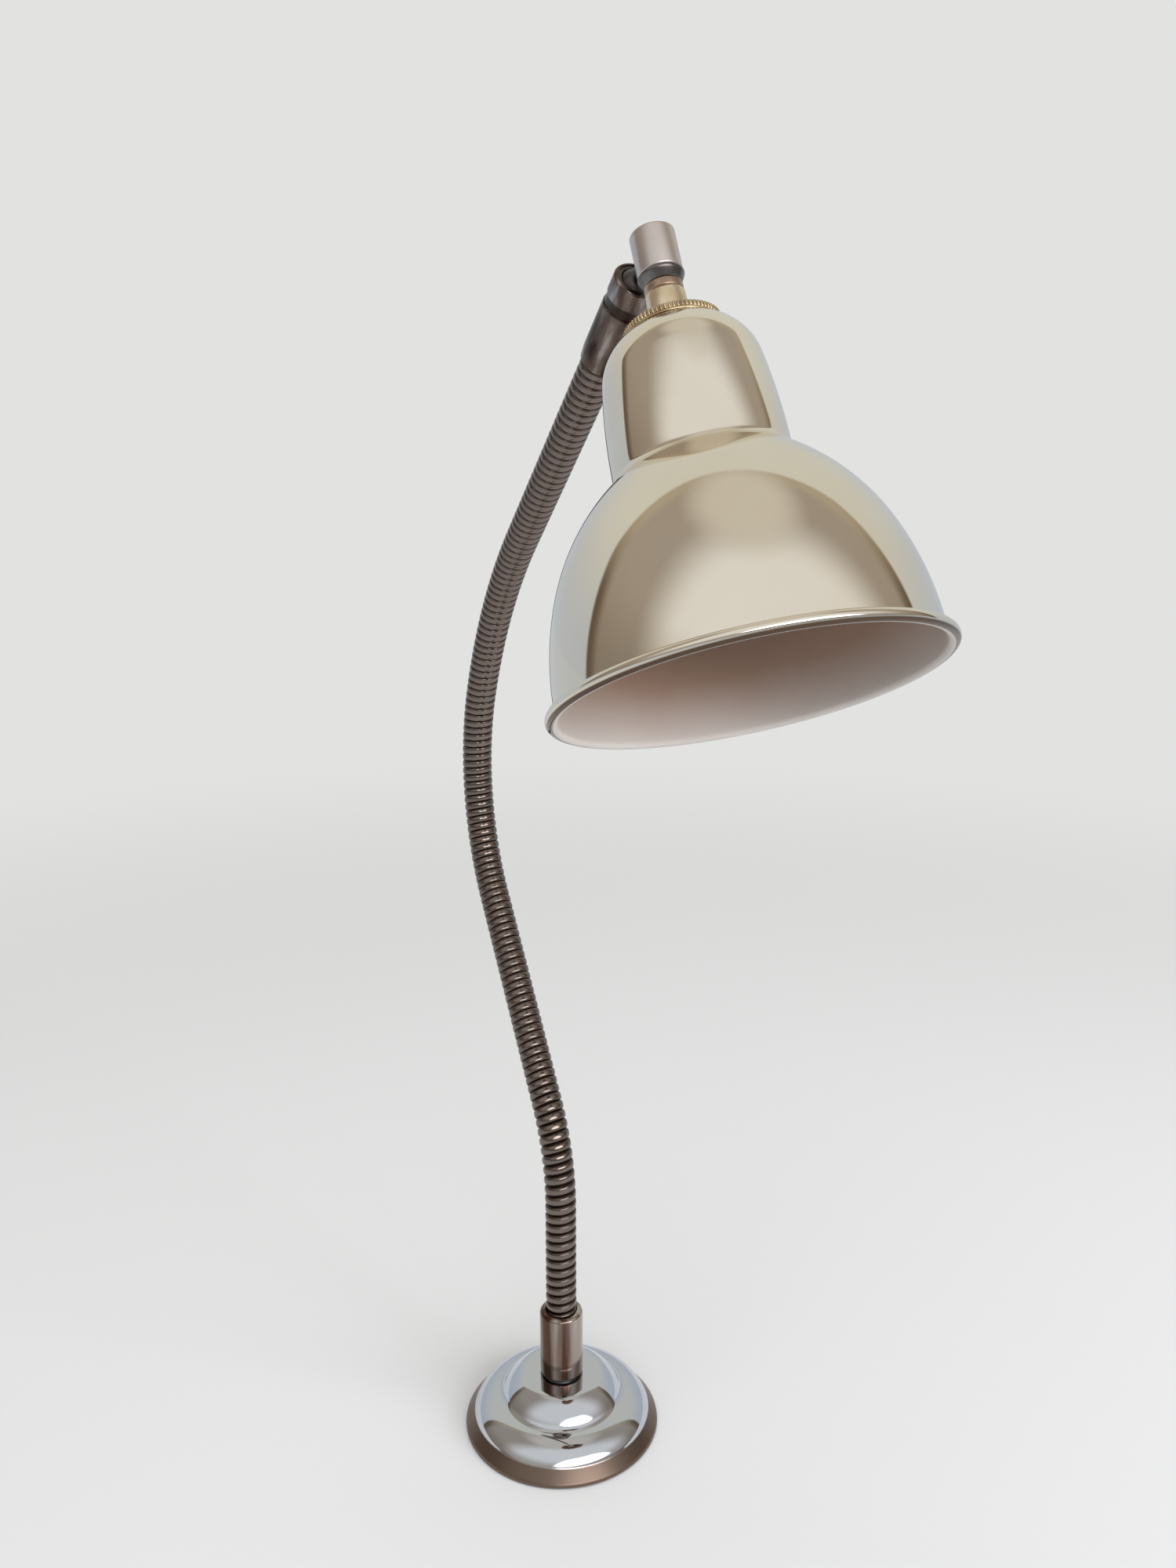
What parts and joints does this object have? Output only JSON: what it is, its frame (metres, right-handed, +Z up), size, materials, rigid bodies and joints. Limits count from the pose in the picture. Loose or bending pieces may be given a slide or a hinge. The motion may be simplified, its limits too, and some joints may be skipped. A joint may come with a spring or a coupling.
{
  "type": "gooseneck bench lamp",
  "caption": "Flexible bench lamp: round weighted base, ribbed gooseneck, ball joint and a polished double-dome shade over a screw lampholder with a small round bulb.",
  "frame": {"origin": "middle of the felt under the base, where the lamp stands on the bench", "axes": "+Z up along the lower sleeve, -Y the way the light faces, gooseneck in the YZ plane, +X completes the right-handed frame"},
  "size_m": [0.1426, 0.3497, 0.577],
  "materials": {
    "plated_cover": "bright nickel plate on spun steel, lightly tarnished",
    "iron_weight": "as cast",
    "steel_plate": "zinc plated sheet",
    "felt": "pressed felt",
    "steel_fasteners": "zinc plated",
    "brass_threads": "turned",
    "rubber_bush": "moulded",
    "plated_sleeve": "bright nickel plate, turned",
    "hose_strip": "wound strip, nickel plated and darkened by age",
    "lead_sheath": "braided rubber sheath",
    "worn_sleeve": "nickel plate with worn and pitted patches",
    "fibre_seat": "vulcanised fibre",
    "dark_steel": "turned steel, darkened",
    "satin_nickel": "satin nickel plate with small pits",
    "brass_trim": "turned and knurled, polished",
    "polished_shade": "polished nickel plate outside, cream enamel inside",
    "brass_holder": "drawn sheet, dulled",
    "porcelain": "glazed",
    "bulb_cap": "rolled thread",
    "bulb_glass": "frosted"
  },
  "bodies": {
    "base": {"base_cover": "plated_cover", "base_weight": "iron_weight", "base_plate": "steel_plate", "felt_pad": "felt", "plate_screws": "steel_fasteners", "base_nipple": "brass_threads", "base_washer": "steel_fasteners", "base_nut": "steel_fasteners", "cable_bush": "rubber_bush", "base_collar": "plated_sleeve", "lower_sleeve": "plated_sleeve", "hose_1": "hose_strip", "lead_1": "lead_sheath"},
    "arm_2": {"hose_2": "hose_strip", "lead_2": "lead_sheath"},
    "arm_3": {"hose_3": "hose_strip", "lead_3": "lead_sheath"},
    "arm_4": {"hose_4": "hose_strip", "lead_4": "lead_sheath"},
    "arm_5": {"hose_5": "hose_strip", "lead_5": "lead_sheath"},
    "arm_6": {"hose_6": "hose_strip", "lead_6": "lead_sheath", "upper_sleeve": "worn_sleeve", "spring_washer": "steel_fasteners", "socket_ring": "dark_steel"},
    "swivel": {"ball_seat": "fibre_seat"},
    "head": {"ball_stud": "dark_steel", "barrel": "satin_nickel", "lock_ring": "dark_steel", "brass_washer": "brass_trim", "brass_collar": "brass_trim", "head_nipple": "brass_threads", "head_lead": "lead_sheath", "knurled_nut": "brass_trim", "shade": "polished_shade", "holder_cap": "brass_holder", "holder_body": "brass_holder", "holder_insulator": "porcelain", "screw_shell": "brass_threads", "centre_contact": "brass_threads", "bulb_cap": "bulb_cap", "bulb_glass": "bulb_glass"}
  },
  "joints": [
    {"name": "bend_1", "type": "hinge", "parent": "base", "child": "arm_2", "pos_m": [0, 0.00793, 0.16081], "axis": [1, 0, 0], "range_deg": [-25, 25]},
    {"name": "bend_2", "type": "hinge", "parent": "arm_2", "child": "arm_3", "pos_m": [0, 0.06354, 0.23394], "axis": [0, 0.7826, -0.6225], "range_deg": [-25, 25]},
    {"name": "bend_3", "type": "hinge", "parent": "arm_3", "child": "arm_4", "pos_m": [0, 0.11039, 0.31183], "axis": [1, 0, 0], "range_deg": [-25, 25]},
    {"name": "bend_4", "type": "hinge", "parent": "arm_4", "child": "arm_5", "pos_m": [0, 0.09199, 0.39973], "axis": [0, 0.8681, 0.4964], "range_deg": [-25, 25]},
    {"name": "bend_5", "type": "hinge", "parent": "arm_5", "child": "arm_6", "pos_m": [0, 0.03152, 0.46827], "axis": [1, 0, 0], "range_deg": [-25, 25]},
    {"name": "ball_swivel", "type": "hinge", "parent": "arm_6", "child": "swivel", "pos_m": [0, -0.07451, 0.55723], "axis": [0, -0.766, 0.6428], "range_deg": [-170, 170]},
    {"name": "ball_tilt", "type": "hinge", "parent": "swivel", "child": "head", "pos_m": [0, -0.07451, 0.55723], "axis": [1, 0, 0], "range_deg": [-48, 12]}
  ]
}
